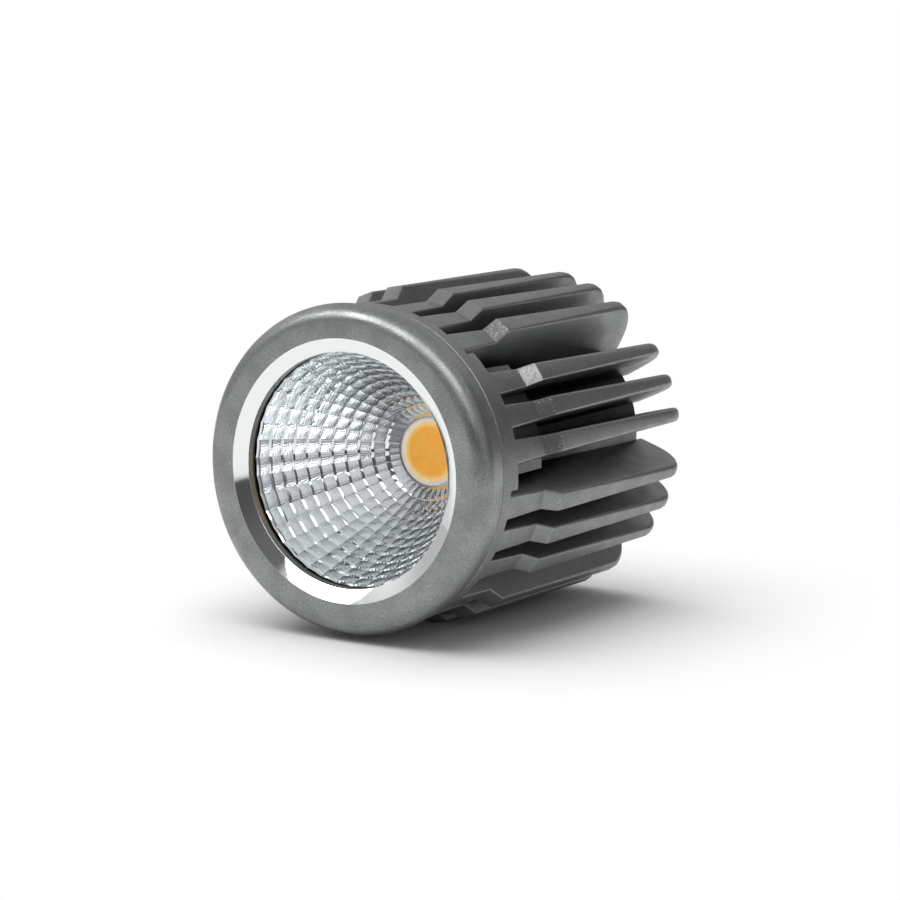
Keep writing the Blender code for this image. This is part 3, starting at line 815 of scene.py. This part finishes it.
bore = {
    "radius": 2.5,
    "z": 10.4,
    "pocketRadius": 3.6,
    "pocketFront": 56.5,
    "screwRadius": 1.55,
    "screwX": 11.2,
    "screwEnd": 33.3,
    "past": 1.0,
    "sides": 48,
}


def drill(name, radius, front, rear, x, z):
    bm = bmesh.new()
    upright = Matrix.Rotation(math.pi / 2, 4, "X")
    bmesh.ops.create_cone(
        bm,
        cap_ends=True,
        segments=bore["sides"],
        radius1=radius * mm,
        radius2=radius * mm,
        depth=(rear - front) * mm,
        matrix=Matrix.Translation(Vector((x, (front + rear) / 2, z)) * mm) @ upright,
    )
    return makePiece(name, bm, [sprayedAndShaded, worn])


def hub():
    corners = [
        (0, sink["hubRear"], 0),
        (sink["hub"], sink["hubRear"], sink["hubRearRound"]),
        (sink["hub"], sink["hubTaper"], 0),
        (sink["hubFront"], sink["flangeRear"], 0),
        (sink["flange"], sink["flangeRear"], sink["flangeRearRound"]),
        (sink["flange"], sink["flangeFront"], sink["flangeFrontRound"]),
        (sink["spigot"], sink["flangeFront"], 0),
        (sink["spigot"], sink["spigotFront"], 0),
        (sink["cavityMouth"], sink["spigotFront"], 0),
        (sink["cavitySeat"], sink["seat"], 0),
        (0, sink["seat"], 0),
    ]
    bm = bmesh.new()
    turn(bm, rounded(corners), sink["steps"], closed=False)
    return makePiece("castHub", bm, [sprayedAndShaded, worn])


def heatSink():
    body = hub()
    inside, rear = sink["seat"] - bore["past"], sink["hubRear"] + bore["past"]
    castBlock = pad("castBlock", block["frontRadius"], block["rearRadius"], block["rear"], block["halfAngle"])
    shelf = pad(
        "flangeShelf", block["shelfRadius"], block["shelfRadius"], block["shelfRear"], block["shelfHalfAngle"]
    )
    shaped = [
        (fins(), "UNION"),
        (castBlock, "UNION"),
        (shelf, "UNION"),
        (drill("wireBore", bore["radius"], inside, rear, 0, bore["z"]), "DIFFERENCE"),
        (drill("grommetPocket", bore["pocketRadius"], bore["pocketFront"], rear, 0, bore["z"]), "DIFFERENCE"),
    ]
    for x in (-bore["screwX"], bore["screwX"]):
        shaped.append((drill("screwHole", bore["screwRadius"], inside, bore["screwEnd"], x, 0), "DIFFERENCE"))
    for tool, operation in shaped:
        modifier = body.modifiers.new(tool.name, "BOOLEAN")
        modifier.operation = operation
        modifier.solver = "EXACT"
        modifier.object = tool
    cast = bpy.data.meshes.new_from_object(body.evaluated_get(bpy.context.evaluated_depsgraph_get()))
    for tool, _ in shaped:
        bpy.data.objects.remove(tool)
    body.modifiers.clear()
    body.data = cast
    body.name = "heatSink"
    cast.set_sharp_from_angle(angle=math.radians(sink["sharpAngle"]))
    return body


putOn(heatSink(), "cast_grey", "heat_sink")
print("heat sink made")


# Emitter: phosphor disc in its pale dam

emitter = {
    "phosphor": 4.65,
    "front": 24.6,
    "base": 24.95,
    "crown": 0.08,
    "edgeRound": 0.1,
    "middleShare": 0.5,
    "damInner": 4.72,
    "damOuter": 5.36,
    "damHeight": 0.55,
    "damRound": 0.49,
    "steps": 96,
}


def phosphorDisc():
    share = emitter["middleShare"]
    corners = [
        (0, emitter["base"], 0),
        (emitter["phosphor"], emitter["base"], 0),
        (emitter["phosphor"], emitter["front"], emitter["edgeRound"]),
        (emitter["phosphor"] * share, emitter["front"] - emitter["crown"] * (1 - share**2), 0),
        (0, emitter["front"] - emitter["crown"], 0),
    ]
    bm = bmesh.new()
    turn(bm, rounded(corners), emitter["steps"], closed=False)
    return makePiece("phosphorDisc", bm, [phosphorFinish])


def damRing():
    width = emitter["damOuter"] - emitter["damInner"]
    top = emitter["base"] - emitter["damHeight"]
    corners = [
        (emitter["damInner"], emitter["base"], 0),
        (emitter["damOuter"], emitter["base"], 0),
        (emitter["damOuter"], top, width * emitter["damRound"]),
        (emitter["damInner"], top, width * emitter["damRound"]),
    ]
    bm = bmesh.new()
    turn(bm, rounded(corners), emitter["steps"])
    return makePiece("damRing", bm, [damFinish])


putOn(phosphorDisc(), "yellow_phosphor", "cob_phosphor")
putOn(damRing(), "pale_silicone", "cob_dam")
print("emitter made")


# Rear grommet

grommet = {
    "neck": 3.3,
    "neckFront": 56.8,
    "neckRound": 0.2,
    "flange": 4.6,
    "flangeRound": 0.4,
    "front": 60.3,
    "frontRound": 0.1,
    "rear": 61.4,
    "hole": 2.2,
    "holeRound": 0.25,
    "steps": 72,
}


def rearGrommet():
    corners = [
        (grommet["hole"], grommet["rear"], grommet["holeRound"]),
        (grommet["flange"], grommet["rear"], grommet["flangeRound"]),
        (grommet["flange"], grommet["front"], grommet["frontRound"]),
        (grommet["neck"], grommet["front"], 0),
        (grommet["neck"], grommet["neckFront"], grommet["neckRound"]),
        (grommet["hole"], grommet["neckFront"], 0),
    ]
    bm = bmesh.new()
    turn(bm, rounded(corners), grommet["steps"])
    return makePiece("rearGrommet", bm, [rubberFinish], place=Vector((0, 0, bore["z"])) * mm)


putOn(rearGrommet(), "black_rubber", "rear_grommet")
print("rear grommet made")


# Inner pieces, which keep their solids

innerFinishes = {
    "cob_board": boardFinish,
    "cob_holder": holderFinish,
    "thermal_pad": padFinish,
    "holder_screw_left": screwFinish,
    "holder_screw_right": screwFinish,
    "solder_positive": solderFinish,
    "solder_negative": solderFinish,
    "lead_positive": redFinish,
    "lead_negative": blackFinish,
}

for nodeName, finish in innerFinishes.items():
    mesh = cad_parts[nodeName].data
    mesh.materials.clear()
    mesh.materials.append(finish)
print("inner pieces finished")


# Table, lamps and camera

table = {  # in metres; it shows pure white away from the module, and has painted shade on its left where the metal mirrors it
    "size": 16.0,
    "colour": grey(0.95),
    "roughness": 0.9,
    "white": grey(1),
    "whiteFrom": 0.065,
    "whiteTo": 0.15,
    "mirroredLeftShade": grey(0.74),
    "left": (0.95, 0.995),
}


def whiteTable():
    bm = bmesh.new()
    bmesh.ops.create_grid(bm, x_segments=1, y_segments=1, size=table["size"] / 2)
    paint = Paint("tableWhite")
    paint.surface(Base_Color=table["colour"], Roughness=table["roughness"])
    far = paint.spread(paint.length(paint.place), table["whiteFrom"], table["whiteTo"])
    plain = Value(paint, paint.shader.outputs[0])
    shader = paint.mixShaders(far * paint.ray("Is Camera Ray"), plain, paint.glow(table["white"]))
    # painted shade: the metal mirrors the table's left darker than it is lit
    leftward = paint.facing(paint.vectors("NORMALIZE", paint.place), (-1, 0, 0))
    mirrored = paint.spread(leftward, *table["left"]) * paint.ray("Is Glossy Ray")
    paint.cover(paint.mixShaders(mirrored, shader, paint.glow(table["mirroredLeftShade"])))
    makeObject("whiteTable", bm, [paint.material])


lamps = {  # the way to each lamp, in degrees to the right of the front and up, with metres and watts
    "frontBox": {
        "right": 10, "up": 46, "distance": 0.8, "size": (1.3, 0.39), "power": 3.5, "onTable": False,
    },
    "leftBox": {
        "right": -42, "up": 40, "distance": 0.8, "size": (0.5, 0.3), "power": 1.5, "onTable": False,
    },
    "overhead": {
        "right": -70, "up": 80, "distance": 1.2, "size": (1.5, 1.5), "power": 17.5, "mirrored": False,
    },
}


def wayTo(right, up):
    right, up = math.radians(right), math.radians(up)
    return Vector((math.sin(right) * math.cos(up), -math.cos(right) * math.cos(up), math.sin(up)))


def softLamp(name, right, up, distance, size, power, mirrored=True, onTable=True):
    light = bpy.data.lights.new(name, "AREA")
    light.shape = "RECTANGLE"
    light.size, light.size_y = size
    light.energy = power
    lamp = bpy.data.objects.new(name, light)
    lamp.visible_glossy = mirrored
    lamp.visible_diffuse = onTable
    middle = Vector((0, 0, axisHeight))
    lamp.location = middle + wayTo(right, up) * distance
    lamp.rotation_euler = (middle - lamp.location).to_track_quat("-Z", "Y").to_euler()
    bpy.context.scene.collection.objects.link(lamp)


tent = {  # paper dome round the table: what the metal mirrors, never seen by the camera
    "radius": 2.5,
    "segments": 48,
    "levels": 24,
    "horizon": grey(0.38),
    "ceiling": grey(0.62),
    "ceilingUp": (0.1, 0.7),
    "left": grey(0.55),
    "leftHigh": grey(1.1),
    "leftHighUp": (0.17, 0.5),
    "leftReach": (0.5, 0.95),
    "front": grey(0.085),
    "frontHigh": grey(0.15),
    "frontHighUp": (0.1, 0.5),
    "frontTop": (0.66, 0.6),
    "frontReach": (0.74, 0.79),
    "frontRight": 26,
    "frontUp": 4,
    "back": grey(0.16),
    "backReach": (0.75, 0.9),
    "backRight": 140,
    "backUp": 4,
}


def paperTent():
    bm = bmesh.new()
    bmesh.ops.create_uvsphere(
        bm, u_segments=tent["segments"], v_segments=tent["levels"], radius=tent["radius"]
    )
    whole = list(bm.verts) + list(bm.edges) + list(bm.faces)
    bmesh.ops.bisect_plane(bm, geom=whole, plane_co=(0, 0, 0), plane_no=(0, 0, 1), clear_inner=True)
    bmesh.ops.reverse_faces(bm, faces=bm.faces)
    paint = Paint("tentPaper")
    way = paint.vectors("NORMALIZE", paint.place)
    up = paint.along("Z", way)
    colour = paint.blend(paint.spread(up, *tent["ceilingUp"]), tent["horizon"], tent["ceiling"])
    left = paint.blend(paint.spread(up, *tent["leftHighUp"]), tent["left"], tent["leftHigh"])
    leftward = paint.facing(way, (-1, 0, 0))
    colour = paint.blend(paint.spread(leftward, *tent["leftReach"]), colour, left)
    front = paint.blend(paint.spread(up, *tent["frontHighUp"]), tent["front"], tent["frontHigh"])
    forward = paint.facing(way, wayTo(tent["frontRight"], tent["frontUp"]))
    low = paint.spread(up, *tent["frontTop"])
    colour = paint.blend(paint.spread(forward, *tent["frontReach"]) * low, colour, front)
    backward = paint.facing(way, wayTo(tent["backRight"], tent["backUp"]))
    colour = paint.blend(paint.spread(backward, *tent["backReach"]), colour, tent["back"])
    paint.cover(paint.glow(colour))
    paint.material.cycles.emission_sampling = "NONE"
    piece = makeObject("paperTent", bm, [paint.material])
    piece.visible_camera = False
    piece.visible_diffuse = False
    piece.visible_shadow = False


sky = {"colour": grey(1), "light": 0.32, "seen": 1.0}


def studioSky():  # white where it is seen or mirrored, and dimmer as a light
    world = bpy.data.worlds.new("studio")
    bpy.context.scene.world = world
    world.use_nodes = True
    nodes = Nodes(world.node_tree)
    rays = {0: nodes.ray("Is Camera Ray"), 1: nodes.ray("Is Glossy Ray")}
    seen = nodes.node("ShaderNodeMath", {"operation": "MAXIMUM"}, rays)
    background = nodes.tree.nodes["Background"].inputs
    nodes.feed(background["Color"], sky["colour"])
    nodes.feed(background["Strength"], nodes.spread(seen, 0, 1, sky["light"], sky["seen"]))


lens = {  # the camera that the photograph was taken with, about the module's axis, in mm and degrees
    "focal": 139.886,
    "sensor": 36,
    "place": (287.277, -428.662, 78.315),
    "down": 8.2743,
    "left": 32.0430,
    "roll": 1.3,
    "nearest": 20,
    "farthest": 50000,
}


def photoCamera():
    camera = bpy.data.cameras.new("photoCamera")
    camera.sensor_width = lens["sensor"]
    camera.lens = lens["focal"]
    camera.clip_start = lens["nearest"] * mm
    camera.clip_end = lens["farthest"] * mm
    seat = bpy.data.objects.new("photoCamera", camera)
    bpy.context.scene.collection.objects.link(seat)
    aim = Matrix.Rotation(math.radians(lens["left"]), 4, "Z")
    aim = aim @ Matrix.Rotation(math.radians(90 - lens["down"]), 4, "X")
    pose = Matrix.Translation(Vector(lens["place"]) * mm) @ aim
    seat.matrix_world = toFrame @ Matrix.Rotation(math.radians(-lens["roll"]), 4, "Y") @ pose
    bpy.context.scene.camera = seat


whiteTable()
paperTent()
for name, facts in lamps.items():
    softLamp(name, **facts)
studioSky()
photoCamera()
bpy.context.scene.view_settings.view_transform = "Standard"
print("table, lamps and camera set")
